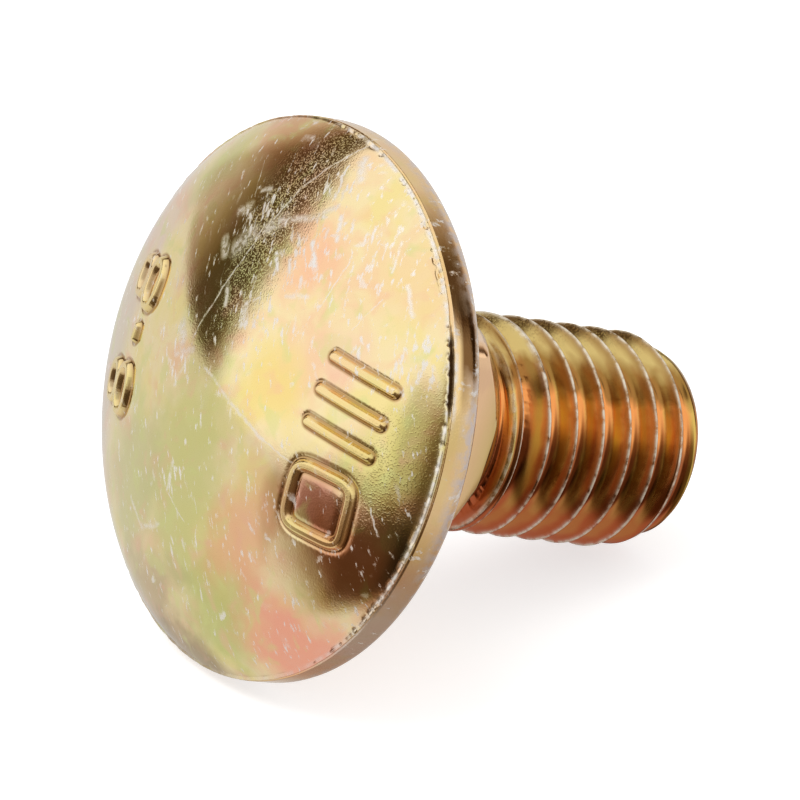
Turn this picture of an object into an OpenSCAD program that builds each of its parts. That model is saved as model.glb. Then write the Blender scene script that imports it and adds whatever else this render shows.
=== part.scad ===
// Short carriage bolt with a wide, low domed head, a square neck and a metric thread.
// It is one cold-forged piece, lying on the rim of its head and the end of its thread.
// The thread is held here as the cylinder over its crests.

/* [Thread] */
// Nominal diameter, over the crests of the thread
thread_d = 8; // [6:0.5:12]
// Distance from one crest to the next
pitch = 1.25; // [0.8:0.05:1.75]
// Plain length between the square neck and the first crest
plain_len = 0.6; // [0.3:0.1:2]
// Diameter of the flat end of the shank
tip_d = 6; // [4.5:0.1:8]

/* [Shank] */
// Length from the underside of the head to the flat end
shank_len = 16; // [12:0.5:60]
// Width of the square neck across its flats
neck_w = 8; // [6:0.1:11]
// Length of the square neck, from the underside of the head
neck_len = 5.4; // [3:0.1:8]
// Rounding of the long corners of the square neck
neck_corner_r = 0.6; // [0.2:0.1:1.5]
// Fillet between the square neck and the underside of the head
neck_fillet_r = 0.4; // [0.1:0.05:0.8]
// Turn of the square neck about the shank, in degrees
neck_turn = 0; // [0:5:85]

/* [Head] */
// Diameter of the head over its rim
head_d = 19.9; // [16:0.1:26]
// Height of the dome above the rim
dome_h = 2.8; // [2:0.1:5]
// Thickness of the rim
rim_t = 1.6; // [1:0.1:3]
// Rounding of the back edge of the rim
rim_r = 0.65; // [0.2:0.05:0.9]
// Width of the flat flash line between the dome and the rim
flash_w = 0.12; // [0.05:0.01:0.3]
// Radius of the edge of the dome, where it turns down to the flash line
dome_edge_r = 3.5; // [1.5:0.1:5]
// Slope of the dome where it meets the flash line, in degrees
dome_edge_slope = 51; // [35:1:60]

/* [Hidden] */
$fn = 96;
plating = "#c8a850";

// The blank is rolled from the pitch diameter, so the plain length has it too
plain_d = thread_d - 0.6495 * pitch;
plain_end = neck_len + plain_len;
run_out = (thread_d - plain_d) / 2;
tip_chamfer = (thread_d - tip_d) / 2;

// The crown arc starts level on the axis and meets the edge arc without a corner
dome_r = head_d / 2 - flash_w;
head_h = rim_t + dome_h;
inner_r = dome_r - dome_edge_r * sin(dome_edge_slope);
inner_h = dome_h - dome_edge_r * (1 - cos(dome_edge_slope));
join_slope = 2 * atan(inner_h / inner_r);
crown_r = inner_r / sin(join_slope) + dome_edge_r;
crown_centre = [0, head_h - crown_r];
edge_centre = [inner_r, rim_t - dome_edge_r * cos(dome_edge_slope)];

// The bolt rests on the rounded back edge of its rim and on the last full crest of its thread
rest_run = shank_len - tip_chamfer + rim_r;
rest_rise = head_d / 2 - rim_r - thread_d / 2;
rest_tilt = atan(rest_rise / rest_run) + asin(rim_r / norm([rest_run, rest_rise]));

// Half the section under one arc of the dome, between two slopes measured from level
module dome_slice(centre, radius, slope_a, slope_b) {
    reach = 1.5 * radius;
    intersection() {
        translate(centre) circle(radius);
        translate(centre)
            polygon([
                [0, 0],
                [reach * sin(slope_a), reach * cos(slope_a)],
                [reach * sin(slope_b), reach * cos(slope_b)]
            ]);
        square([dome_r, head_h]);
    }
}

// Half the section of the rim, with its rounded back edge
module rim_profile() {
    outer_r = head_d / 2;
    square([outer_r - rim_r, rim_t]);
    translate([0, rim_r]) square([outer_r, rim_t - rim_r]);
    translate([outer_r - rim_r, rim_r]) circle(rim_r);
}

module head() {
    rotate_extrude() dome_slice(crown_centre, crown_r, 0, join_slope);
    rotate_extrude() dome_slice(edge_centre, dome_edge_r, join_slope, dome_edge_slope);
    rotate_extrude() rim_profile();
}

module rounded_square(width, corner_r) {
    straight = width - 2 * corner_r;
    square([width, straight], center = true);
    square([straight, width], center = true);
    for (x = [-1, 1], y = [-1, 1])
        translate([x, y] * straight / 2) circle(corner_r);
}

// The square neck, whose corners run out into the shank on a 45 degree cone
module square_neck() {
    flat_r = neck_w / 2;
    corner_r = flat_r * sqrt(2);
    corner_len = neck_len - (corner_r - flat_r);
    intersection() {
        translate([0, 0, -neck_len]) linear_extrude(neck_len) rounded_square(neck_w, neck_corner_r);
        rotate_extrude()
            polygon([[0, 0], [corner_r, 0], [corner_r, -corner_len], [flat_r, -neck_len], [0, -neck_len]]);
    }
}

// A strip as wide as half_width, which flares out to the underside of the head
module fillet_profile(half_width) {
    difference() {
        translate([0, -neck_fillet_r]) square([half_width + neck_fillet_r, neck_fillet_r]);
        translate([half_width + neck_fillet_r, -neck_fillet_r]) circle(neck_fillet_r);
    }
}

// The fillet runs along the four flats and turns round the four corners
module neck_fillet() {
    straight = neck_w - 2 * neck_corner_r;
    for (turn = [0 : 90 : 270])
        rotate([0, 0, turn]) {
            rotate([90, 0, 0]) linear_extrude(straight, center = true) fillet_profile(neck_w / 2);
            translate([straight / 2, straight / 2, 0]) rotate_extrude() fillet_profile(neck_corner_r);
        }
}

// The round shank: plain length, run-out, thread and chamfered end
module threaded_shank() {
    rotate_extrude()
        polygon([
            [0, 0],
            [plain_d / 2, 0],
            [plain_d / 2, -plain_end],
            [thread_d / 2, -plain_end - run_out],
            [thread_d / 2, tip_chamfer - shank_len],
            [tip_d / 2, -shank_len],
            [0, -shank_len]
        ]);
}

// The bolt, tipped over from upright so that its shank points along +X and down to the floor
module bolt() {
    color(plating)
        rotate([0, rest_tilt - 90, 0]) {
            head();
            rotate([0, 0, neck_turn]) {
                square_neck();
                neck_fillet();
            }
            threaded_shank();
        }
}

bolt();
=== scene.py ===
"""Looks of a short carriage bolt with a wide, low domed head, in yellow-passivated zinc.

The bolt is one cold-forged piece. It is drawn here as one closed skin, worked out from the sizes of its
own stages: dome, flash line, rim, square neck, run-out, rolled thread and chamfered end.
"""

import logging
import math
from dataclasses import dataclass
from enum import Enum

import bpy
import numpy as np
from mathutils import Matrix, Vector


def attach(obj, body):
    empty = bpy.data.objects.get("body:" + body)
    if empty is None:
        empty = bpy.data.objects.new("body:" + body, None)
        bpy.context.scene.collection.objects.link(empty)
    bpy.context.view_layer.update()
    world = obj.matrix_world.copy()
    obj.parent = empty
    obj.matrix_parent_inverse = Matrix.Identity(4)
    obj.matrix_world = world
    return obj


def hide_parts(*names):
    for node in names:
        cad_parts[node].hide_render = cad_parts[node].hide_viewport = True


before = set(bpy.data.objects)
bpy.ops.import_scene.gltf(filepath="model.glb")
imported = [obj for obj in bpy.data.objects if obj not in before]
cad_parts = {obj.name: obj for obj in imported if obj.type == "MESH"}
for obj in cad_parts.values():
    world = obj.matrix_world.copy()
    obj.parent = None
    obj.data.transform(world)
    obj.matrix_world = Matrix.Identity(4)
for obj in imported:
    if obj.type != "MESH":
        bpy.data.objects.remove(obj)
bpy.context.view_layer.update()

LOG = logging.getLogger("carriage_bolt")
MM = 0.001
WHITE = (1.0, 1.0, 1.0, 1.0)
Socket = bpy.types.NodeSocket
Light = Socket | float
TURN = 2.0 * math.pi


def smoothstep(low: float, high: float, value: np.ndarray) -> np.ndarray:
    """Rises from 0 at low to 1 at high along t squared times (3 minus 2 t).

    Args:
        low: Where the rise starts.
        high: Where it ends.
        value: The values to measure.

    Returns:
        The share of the rise at each value.
    """
    t = np.clip((value - low) / (high - low), 0.0, 1.0)
    return t * t * (3.0 - 2.0 * t)


def soft_min(one: np.ndarray, other: np.ndarray, blend: float) -> np.ndarray:
    """The smaller of two values, rounded by a parabola where they come within blend of each other.

    Args:
        one: The first values.
        other: The second values.
        blend: How near they come before the corner is rounded.

    Returns:
        The rounded minimum.
    """
    near = np.maximum(blend - np.abs(one - other), 0.0) / blend
    return np.minimum(one, other) - near * near * blend * 0.25


def bell(value: np.ndarray, width: float | np.ndarray) -> np.ndarray:
    """A bell curve: e to the minus square of the value over the width."""
    return np.exp(-((value / width) ** 2))


@dataclass(frozen=True)
class BoltAxes:
    """The bolt's own axes as it lies: along the shank, to the side, and square to both.

    A point is given by its depth below the underside of the head, its radius and its angle round the shank.
    """

    rest_tilt_deg: float = 20.9636

    def vectors(self) -> tuple[np.ndarray, np.ndarray, np.ndarray]:
        """Works out the bolt's own directions from its tilt.

        Returns:
            The unit vectors along the shank, to the side and upwards, as a right-handed set.
        """
        tilt = math.radians(self.rest_tilt_deg)
        along = np.array([math.cos(tilt), 0.0, -math.sin(tilt)])
        side = np.array([0.0, 1.0, 0.0])
        return along, side, np.cross(along, side)

    def place(self, radius: np.ndarray, angle: np.ndarray, depth: np.ndarray) -> np.ndarray:
        """Puts points into the row frame: depth along the shank plus radius in the angle's direction.

        Args:
            radius: Distance from the shank's axis, in millimetres.
            angle: Angle round the axis, in radians.
            depth: Distance below the underside of the head, in millimetres.

        Returns:
            The points in metres, one row each.
        """
        along, side, upper = self.vectors()
        points = np.outer(depth, along)
        points = points + np.outer(radius * np.cos(angle), side)
        points = points + np.outer(radius * np.sin(angle), upper)
        return points * MM


class Mark(Enum):
    """The raised marks on the dome."""

    STRENGTH_NUMBER = "strength_number"
    TALLY_AND_FRAME = "tally_and_frame"


@dataclass(frozen=True)
class MarkForm:
    """Raised beads left by the heading die, as lines on the dome seen from in front.

    Across is to the right and up is up, in millimetres from the middle of the dome.
    """

    half_width: float = 0.235
    flat_top: float = 0.07
    loop_steps: int = 48
    height: float = 0.17
    dip: float = 0.03
    number_at: tuple[float, float] = (-6.3, -0.08)
    frame_at: tuple[float, float] = (6.4, -1.62)
    tally_at: tuple[float, float] = (6.42, 1.98)

    def loop(self, centre: tuple[float, float], half: tuple[float, float], power: float) -> np.ndarray:
        """A closed line whose across and up parts are cosine and sine to the power of 2 over power.

        Args:
            centre: Its middle.
            half: Its half size across and up.
            power: 2 gives an ellipse and larger values a squarer loop.

        Returns:
            The line's points, one row each.
        """
        turn = np.linspace(0.0, TURN, self.loop_steps + 1)
        cosine, sine = np.cos(turn), np.sin(turn)
        across = centre[0] + half[0] * np.sign(cosine) * np.abs(cosine) ** (2.0 / power)
        upward = centre[1] + half[1] * np.sign(sine) * np.abs(sine) ** (2.0 / power)
        return np.column_stack([across, upward])

    def lines(self, mark: Mark) -> list[np.ndarray]:
        """The centre lines of one mark.

        Args:
            mark: Which mark.

        Returns:
            A list of lines, each an array of points.
        """
        if mark is Mark.STRENGTH_NUMBER:
            x, y = self.number_at
            lines = []
            for step in (-2.08, 1.9):
                lines.append(self.loop((x - 0.5, y + step), (0.4, 0.68), 2.3))
                lines.append(self.loop((x + 0.48, y + step), (0.47, 0.86), 2.3))
            lines.append(np.array([[x + 0.4, y - 0.18], [x + 0.4, y + 0.24]]))
            return lines
        x, y = self.tally_at
        bars = [np.array([[x - 1.32, y + up + 0.1], [x + 1.32, y + up - 0.1]]) for up in (-1.2, 0.0, 1.2)]
        return bars + [self.loop(self.frame_at, (1.2, 1.12), 5.0)]

    def distance(self, across: np.ndarray, upward: np.ndarray, mark: Mark) -> np.ndarray:
        """The distance from each point to the nearest centre line: the least over all straight pieces.

        Args:
            across: Points' places across, in millimetres.
            upward: Their places up.
            mark: Which mark.

        Returns:
            The distances, in millimetres.
        """
        starts = np.concatenate([line[:-1] for line in self.lines(mark)])
        ends = np.concatenate([line[1:] for line in self.lines(mark)])
        run = ends - starts
        away_x = across[:, None] - starts[:, 0]
        away_y = upward[:, None] - starts[:, 1]
        share = (away_x * run[:, 0] + away_y * run[:, 1]) / np.maximum((run**2).sum(1), 1e-12)
        share = np.clip(share, 0.0, 1.0)
        gap = np.hypot(away_x - share * run[:, 0], away_y - share * run[:, 1])
        return gap.min(axis=1)

    def nearest(self, across: np.ndarray, upward: np.ndarray) -> np.ndarray:
        """The distance from each point to the nearest line of any mark, in millimetres."""
        gaps = [self.distance(across, upward, mark) for mark in Mark]
        return np.minimum(gaps[0], gaps[1])

    def rise(self, gap: np.ndarray) -> np.ndarray:
        """Height of a bead over the dome: a cosine hill on a flat middle, with a shallow dip at its foot.

        Args:
            gap: Distance to the nearest line, in millimetres.

        Returns:
            The heights, in millimetres.
        """
        share = np.clip((gap - self.flat_top) / (self.half_width - self.flat_top), 0.0, 1.0)
        hill = self.height * (0.5 + 0.5 * np.cos(math.pi * share))
        return hill - self.dip * bell(gap - self.half_width - 0.04, 0.07)


@dataclass(frozen=True)
class HeadForm:
    """The low dome, its flash line and the rounded rim. Lengths are in millimetres."""

    head_d: float = 19.9
    dome_h: float = 2.8
    rim_t: float = 1.6
    rim_r: float = 0.65
    flash_w: float = 0.12
    edge_r: float = 3.5
    edge_slope_deg: float = 51.0
    ring_step: float = 0.24
    fine_from: float = 0.45
    sample: float = 0.02
    crown_points: int = 90
    edge_points: int = 30

    def dome_arcs(self) -> tuple[float, float, float, float]:
        """Works out the two arcs of the dome.

        Returns:
            The radius of the crown arc, the slope where the arcs meet, the edge arc's centre radius, and
            the slope at the flash line.
        """
        slope = math.radians(self.edge_slope_deg)
        inner_r = self.head_d / 2 - self.flash_w - self.edge_r * math.sin(slope)
        inner_h = self.dome_h - self.edge_r * (1.0 - math.cos(slope))
        join = 2.0 * math.atan(inner_h / inner_r)
        return inner_r / math.sin(join) + self.edge_r, join, inner_r, slope

    def section(self) -> np.ndarray:
        """Half the head's section, from the top of the dome to the flat underside.

        The crown is radius times sine and cosine of a slope from 0 to where the arcs meet, the edge arc
        goes on to the flash line, and a nip, a thin lip, the straight rim and its rounded back follow.

        Returns:
            Radius and height over the underside, one row a point.
        """
        crown_r, join, inner_r, slope = self.dome_arcs()
        crown = np.linspace(0.0, join, self.crown_points)
        edge = np.linspace(join, slope, self.edge_points)[1:]
        top = self.rim_t + self.dome_h
        dome_x = np.concatenate([crown_r * np.sin(crown), inner_r + self.edge_r * np.sin(edge)])
        low = self.rim_t - self.edge_r * math.cos(slope)
        dome_z = np.concatenate([top - crown_r * (1.0 - np.cos(crown)), low + self.edge_r * np.cos(edge)])
        outer = self.head_d / 2
        inset = np.array([0.09, 0.03, 0.004, 0.012, 0.05, 0.045, 0.008, 0.0, 0.0, 0.0, 0.0])
        last = self.rim_t - self.rim_r - 0.1
        below = np.array([0.015, 0.035, 0.07, 0.11, 0.14, 0.17, 0.2, 0.225, 0.26, 0.4, last])
        back = np.linspace(0.0, math.pi / 2, 9)
        back_x = outer - self.rim_r + self.rim_r * np.cos(back)
        back_z = self.rim_r - self.rim_r * np.sin(back)
        x = np.concatenate([dome_x, outer - inset, back_x])
        z = np.concatenate([dome_z, self.rim_t - below, back_z])
        return np.column_stack([x, z])

    def run(self) -> np.ndarray:
        """The length of the section's line from the top of the dome to each of its points, in millimetres."""
        steps = np.hypot(*np.diff(self.section(), axis=0).T)
        return np.concatenate([[0.0], np.cumsum(steps)])

    def dome_run(self) -> float:
        """The length of the section's line over the dome, up to the flash line."""
        return float(self.run()[self.crown_points + self.edge_points - 2])

    def rings(self) -> np.ndarray:
        """Where rings of points lie along the section's line, closer together near the flash line.

        Returns:
            Lengths from the top of the dome, in millimetres.
        """
        run = self.run()
        end = self.dome_run()
        count = int((end - 0.5) / self.ring_step)
        dome = np.linspace(0.0, end - self.fine_from, count + 1)[1:]
        near = np.linspace(end - self.fine_from, end, 6)[1:]
        return np.concatenate([dome, near, run[self.crown_points + self.edge_points - 1 :]])

    def at(self, where: np.ndarray) -> tuple[np.ndarray, np.ndarray, np.ndarray, np.ndarray]:
        """Reads the section at lengths along its line.

        Args:
            where: Lengths from the top of the dome.

        Returns:
            Radius, height over the underside, and the outward direction's two parts.
        """
        run, line = self.run(), self.section()
        x, z = (np.interp(where, run, part) for part in line.T)
        ahead, behind = where + self.sample, where - self.sample
        across, down = (np.interp(ahead, run, part) - np.interp(behind, run, part) for part in line.T)
        length = np.maximum(np.hypot(across, down), 1e-9)
        return x, z, -down / length, across / length


@dataclass(frozen=True)
class NeckForm:
    """The square neck under the head, with its foot fillet and its corners run out on a cone."""

    width: float = 8.0
    length: float = 5.4
    corner_r: float = 0.6
    fillet_r: float = 0.4
    end_round: float = 0.12

    def across(self, angle: np.ndarray) -> np.ndarray:
        """Radius of the rounded square at each angle: half the width over the cosine on the flats, and the
        far crossing of the ray with the corner circle near the corners.

        Args:
            angle: Angles round the shank.

        Returns:
            The radii, in millimetres.
        """
        half = self.width / 2
        fold = np.abs((angle + math.pi / 4) % (math.pi / 2) - math.pi / 4)
        middle = half - self.corner_r
        flat = half / np.cos(fold)
        reach = middle * (np.cos(fold) + np.sin(fold))
        inside = np.maximum(reach**2 - 2.0 * middle**2 + self.corner_r**2, 0.0)
        corner = reach + np.sqrt(inside)
        return np.where(half * np.tan(fold) <= middle, flat, corner)

    def rings(self, angle: np.ndarray, start_r: float, plain_r: float) -> tuple[np.ndarray, np.ndarray]:
        """Rings from the flat underside down the fillet, the flats and the cone to the plain shank.

        Args:
            angle: The columns' angles.
            start_r: Radius of the last ring of the head.
            plain_r: Radius of the plain shank.

        Returns:
            Radii and depths, a row a ring.
        """
        side = self.across(angle)[None, :]
        share = np.linspace(0.0, 1.0, 5)[1:, None]
        under = start_r + (side + self.fillet_r - start_r) * share
        turn = np.linspace(0.0, math.pi / 2, 6)[1:, None]
        fillet = side + self.fillet_r * (1.0 - np.sin(turn))
        along_flats = np.linspace(0.7, 3.8, 6)
        along_cone = np.linspace(3.95, self.length - self.end_round, 12)
        depth = np.concatenate([along_flats, along_cone])[:, None]
        wall = soft_min(side, self.width / 2 + self.length - depth, self.end_round)
        edge = np.linspace(0.0, math.pi / 2, 4)[1:, None]
        rounded = wall[-1:] - self.end_round * (1.0 - np.cos(edge))
        inner = plain_r + np.array([[0.1], [0.03], [0.0]]) + 0.0 * side
        inner_depth = self.length + np.array([[0.0], [0.03], [0.1]])
        fillet_depth = self.fillet_r * (1.0 - np.cos(turn))
        rounded_depth = self.length - self.end_round * (1.0 - np.sin(edge))
        radii = np.concatenate([under, fillet, wall, rounded, inner])
        depths = np.concatenate([0.0 * share, fillet_depth, depth, rounded_depth, inner_depth])
        return radii, depths + 0.0 * side


@dataclass(frozen=True)
class ThreadForm:
    """The rolled thread from its run-out to the chamfered end. Lengths are in millimetres."""

    crest_d: float = 8.0
    pitch: float = 1.25
    ridge_at: float = 5.76
    start: float = 5.9
    run_out_from: float = 5.98
    run_out_to: float = 6.45
    end: float = 15.7
    tip_d: float = 5.78
    taper_from: float = 13.86
    taper_to: float = 15.3
    taper_r: float = 3.43
    groove: float = 0.72
    crest_w: float = 0.05
    root_r: float = 0.3
    young_shift: float = 0.165
    least_step: float = 0.004
    crest_at: float = 7.87
    crest_angle_deg: float = 158.5
    phases: tuple[float, ...] = (
        *(0.0, 0.035, 0.055, 0.08, 0.14, 0.23, 0.32, 0.41, 0.5),
        *(0.59, 0.66, 0.74, 0.83, 0.9, 0.93, 0.95, 0.975),
    )

    def plain_r(self) -> float:
        """Radius of the blank before rolling, which is the pitch radius."""
        return (self.crest_d - 0.6495 * self.pitch) / 2

    def young(self, depth: np.ndarray) -> np.ndarray:
        """How much the crest is still the wide one that the dies start with: 1, falling to 0 over a turn."""
        return 1.0 - smoothstep(self.run_out_from + 0.7, self.run_out_from + 2.0, depth)

    def crest_offset(self, angle: np.ndarray, depth: np.ndarray) -> np.ndarray:
        """Signed distance along the shank from the nearest crest, which climbs one pitch a turn.

        Args:
            angle: Angles round the shank.
            depth: Depths below the underside of the head.

        Returns:
            The distances, in millimetres.
        """
        climb = (angle - math.radians(self.crest_angle_deg)) / TURN
        phase = (depth - self.crest_at) / self.pitch - climb
        return (phase - np.round(phase)) * self.pitch

    def radius(self, angle: np.ndarray, depth: np.ndarray) -> np.ndarray:
        """Radius of the thread: a crest, 60 degree flanks and a rounded root, which start out of the
        run-out hollow and are cut down by the blank's pointed end.

        The crest is wide and split by a seam where the dies start, and narrows over the first turn. The
        pointed end is a slow taper and then a chamfer, both straight in section.

        Args:
            angle: Angles round the shank.
            depth: Depths below the underside of the head.

        Returns:
            The radii, in millimetres.
        """
        young = self.young(depth)
        off = self.crest_offset(angle, depth) + self.young_shift * young
        away = np.abs(off)
        wide = self.crest_w / 2 + 0.15 * young
        flank = (away - wide) * math.tan(math.radians(60.0))
        flank = -soft_min(-flank, np.zeros_like(flank), 0.05)
        root = self.groove - (self.pitch / 2 - away) ** 2 / (2.0 * self.root_r)
        full = self.crest_d / 2 - soft_min(flank, root, 0.12)
        full = full - (0.015 + 0.1 * young) * bell(off, 0.03 + 0.05 * young)
        fade = smoothstep(self.run_out_from, self.run_out_to, depth)
        rolled = self.run_out(depth) + (full - self.run_out(depth)) * fade
        taper = (self.crest_d / 2 - self.taper_r) / (self.taper_to - self.taper_from)
        point = self.crest_d / 2 - taper * (depth - self.taper_from)
        chamfer = (self.taper_r - self.tip_d / 2) / (self.end - self.taper_to)
        point = soft_min(point, self.tip_d / 2 + chamfer * (self.end - depth), 0.08)
        return np.minimum(soft_min(rolled, point, 0.06), self.crest_d / 2)

    def crest_edge(self, angle: np.ndarray, depth: np.ndarray) -> np.ndarray:
        """How rubbed the thread's crest edges are, which also sets their painted highlight: a bell curve
        across each edge of the crest.

        Args:
            angle: Angles round the shank.
            depth: Depths below the underside of the head.

        Returns:
            0 to 1 for each point.
        """
        young = self.young(depth)
        away = np.abs(self.crest_offset(angle, depth) + self.young_shift * young)
        edge = bell(away - 0.015 - self.young_shift * young, 0.046)
        return edge * smoothstep(self.run_out_from, self.run_out_to, depth)

    def groove_share(self, angle: np.ndarray, depth: np.ndarray) -> np.ndarray:
        """How deep in the groove each point lies, from 0 on the crest's line to 1 on the root's line.

        Args:
            angle: Angles round the shank.
            depth: Depths below the underside of the head.

        Returns:
            The shares.
        """
        return np.abs(self.crest_offset(angle, depth)) / (self.pitch / 2)

    def run_out(self, depth: np.ndarray) -> np.ndarray:
        """Radius ahead of the thread: the plain blank, a thin ridge and half a sine wave of hollow.

        Args:
            depth: Depths below the underside of the head.

        Returns:
            The radii, in millimetres.
        """
        ridge = 0.1 * bell(depth - self.ridge_at, 0.045)
        share = np.clip((depth - self.ridge_at - 0.04) / 0.5, 0.0, 1.0)
        return self.plain_r() + ridge - 0.17 * np.sin(math.pi * share)

    def net(self, angle: np.ndarray) -> tuple[np.ndarray, np.ndarray, np.ndarray]:
        """The thread's net of points, whose rows climb with the crest.

        A row's depth is a start plus the pitch times (its place in the pitch plus its share of the turn),
        held between the first ring and the last. A row goes on, after a turn, as the row one pitch below.

        Args:
            angle: The columns' angles, rising from the seam by less than a full turn.

        Returns:
            The inner points' angles and depths, and the triangles. In those, with n columns, 0 to n-1 is
            the first ring, n to 2n-1 the last ring, and the inner points follow.
        """
        columns = len(angle)
        seam = angle[0]
        behind = (math.radians(self.crest_angle_deg) - seam) / TURN
        first = self.crest_at - self.pitch * behind
        first = first - self.pitch * math.ceil((first - self.start) / self.pitch)
        steps = len(self.phases)
        rows = np.arange(-steps, math.ceil((self.end - first) / self.pitch) * steps + steps + 1)
        phase = np.array(self.phases)[rows % steps] + rows // steps
        share = (angle - seam) / TURN
        depth = first + self.pitch * (phase[:, None] + share[None, :])
        ids = np.full(depth.shape, -1)
        low = depth <= self.start + self.least_step
        high = depth >= self.end - self.least_step
        inner = ~(low | high)
        ids[inner] = 2 * columns + np.arange(int(inner.sum()))
        column = np.broadcast_to(np.arange(columns)[None, :], depth.shape)
        ids[low] = column[low]
        ids[high] = column[high] + columns
        angles = np.broadcast_to(angle[None, :], depth.shape)[inner]
        wrapped = np.concatenate([ids, np.roll(ids[:, :1], -steps, axis=0)], axis=1)[:-steps]
        a, b = wrapped[:-1, :-1].ravel(), wrapped[1:, :-1].ravel()
        c, d = wrapped[1:, 1:].ravel(), wrapped[:-1, 1:].ravel()
        tris = np.concatenate([np.column_stack([a, b, c]), np.column_stack([a, c, d])])
        return angles, depth[inner], tris


def ring_triangles(upper: np.ndarray, lower: np.ndarray) -> np.ndarray:
    """Joins two closed rings of equally many points by two triangles a step.

    Args:
        upper: Point numbers of one ring.
        lower: Point numbers of the next ring.

    Returns:
        The triangles, one row each.
    """
    up_next, low_next = np.roll(upper, -1), np.roll(lower, -1)
    halves = [upper, lower, low_next], [upper, low_next, up_next]
    return np.concatenate([np.column_stack(half) for half in halves])


def split_edges(triangles: np.ndarray, chosen: np.ndarray, count: int) -> tuple[np.ndarray, np.ndarray]:
    """Splits the edges of the chosen triangles at their middles and keeps the net closed.

    A triangle with three split edges becomes four, one with two becomes three and one with one becomes two.

    Args:
        triangles: The net, one row a triangle.
        chosen: True for each triangle to split in four.
        count: How many points there are.

    Returns:
        The new net and, for each new point, the two points it lies between.
    """
    sides = np.stack([triangles, np.roll(triangles, -1, axis=1)], axis=2)
    ordered = np.sort(sides, axis=2)
    keys = ordered[..., 0] * np.int64(count) + ordered[..., 1]
    wanted = np.unique(keys[chosen])
    place = np.minimum(np.searchsorted(wanted, keys), max(len(wanted) - 1, 0))
    split = wanted[place] == keys
    middle = np.where(split, count + place, -1)
    ends = np.column_stack([wanted // count, wanted % count])
    total = split.sum(axis=1)
    made = [triangles[total == 0]]
    for cut in (1, 2):
        few = total == cut
        look = split[few] if cut == 1 else ~split[few]
        turn = (np.argmax(look, axis=1)[:, None] + np.arange(3)[None, :]) % 3
        corner = np.take_along_axis(triangles[few], turn, axis=1)
        half = np.take_along_axis(middle[few], turn, axis=1)
        if cut == 1:
            made.append(np.column_stack([corner[:, 0], half[:, 0], corner[:, 2]]))
            made.append(np.column_stack([half[:, 0], corner[:, 1], corner[:, 2]]))
        else:
            made.append(np.column_stack([corner[:, 0], corner[:, 1], half[:, 1]]))
            made.append(np.column_stack([corner[:, 0], half[:, 1], half[:, 2]]))
            made.append(np.column_stack([half[:, 1], corner[:, 2], half[:, 2]]))
    t, m = triangles[total == 3], middle[total == 3]
    made.append(np.column_stack([t[:, 0], m[:, 0], m[:, 2]]))
    made.append(np.column_stack([m[:, 0], t[:, 1], m[:, 1]]))
    made.append(np.column_stack([m[:, 2], m[:, 1], t[:, 2]]))
    made.append(m)
    return np.concatenate(made), ends


class Net:
    """The skin's points and triangles, put together stage by stage, and each point's layers.

    A layer is a value from 0 to 1: how far rubbing has bared the point, which on the thread's crests also
    sets a painted highlight (worn), how near it is to a raised mark's line (stamp), how far it is inside the
    open seam (crevice), whether it is on the rim (rim), and how deep it is in the thread's groove (groove).
    """

    away_from_thread = 0.55

    def __init__(self) -> None:
        """Starts without points."""
        self.count = 0
        self.points: list[np.ndarray] = []
        self.faces: list[np.ndarray] = []
        names = ("worn", "stamp", "crevice", "rim", "groove")
        self.layers: dict[str, list[np.ndarray]] = {name: [] for name in names}

    def add(self, points: np.ndarray, **layers: np.ndarray) -> np.ndarray:
        """Adds points.

        Args:
            points: The points, in metres.
            **layers: Their values in some of the layers. The others keep the value of a plain surface.

        Returns:
            The points' numbers.
        """
        ids = self.count + np.arange(len(points))
        self.points.append(points)
        for name, values in self.layers.items():
            plain = self.away_from_thread if name == "groove" else 0.0
            values.append(layers.get(name, np.full(len(points), plain)))
        self.count += len(points)
        return ids

    def join(self, rings: np.ndarray) -> None:
        """Joins each ring of point numbers, a row of the array, to the next."""
        for upper, lower in zip(rings[:-1], rings[1:]):
            self.faces.append(ring_triangles(upper, lower))

    def to_object(self, name: str) -> bpy.types.Object:
        """Puts the points and triangles into a mesh, with all its faces outwards, and stores the layers.

        Args:
            name: The piece's name.

        Returns:
            The new object at the origin.
        """
        points, faces = np.concatenate(self.points), np.concatenate(self.faces)
        a, b, c = points[faces[:, 0]], points[faces[:, 1]], points[faces[:, 2]]
        volume = float(np.einsum("ij,ij->", a, np.cross(b, c))) / 6.0
        if volume < 0:
            faces = faces[:, ::-1]
        mesh = bpy.data.meshes.new(name)
        mesh.vertices.add(len(points))
        mesh.vertices.foreach_set("co", points.astype(np.float32).ravel())
        mesh.loops.add(faces.size)
        mesh.loops.foreach_set("vertex_index", faces.astype(np.int32).ravel())
        mesh.polygons.add(len(faces))
        mesh.polygons.foreach_set("loop_start", (3 * np.arange(len(faces))).astype(np.int32))
        mesh.update(calc_edges=True)
        mesh.validate()
        for layer, values in self.layers.items():
            attribute = mesh.attributes.new(layer, "FLOAT", "POINT")
            attribute.data.foreach_set("value", np.concatenate(values).astype(np.float32))
        mesh.shade_smooth()
        piece = bpy.data.objects.new(name, mesh)
        bpy.context.scene.collection.objects.link(piece)
        LOG.info("%s: %d points, %d triangles, %.1f mm3", name, len(points), len(faces), abs(volume) * 1e9)
        return piece


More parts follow.
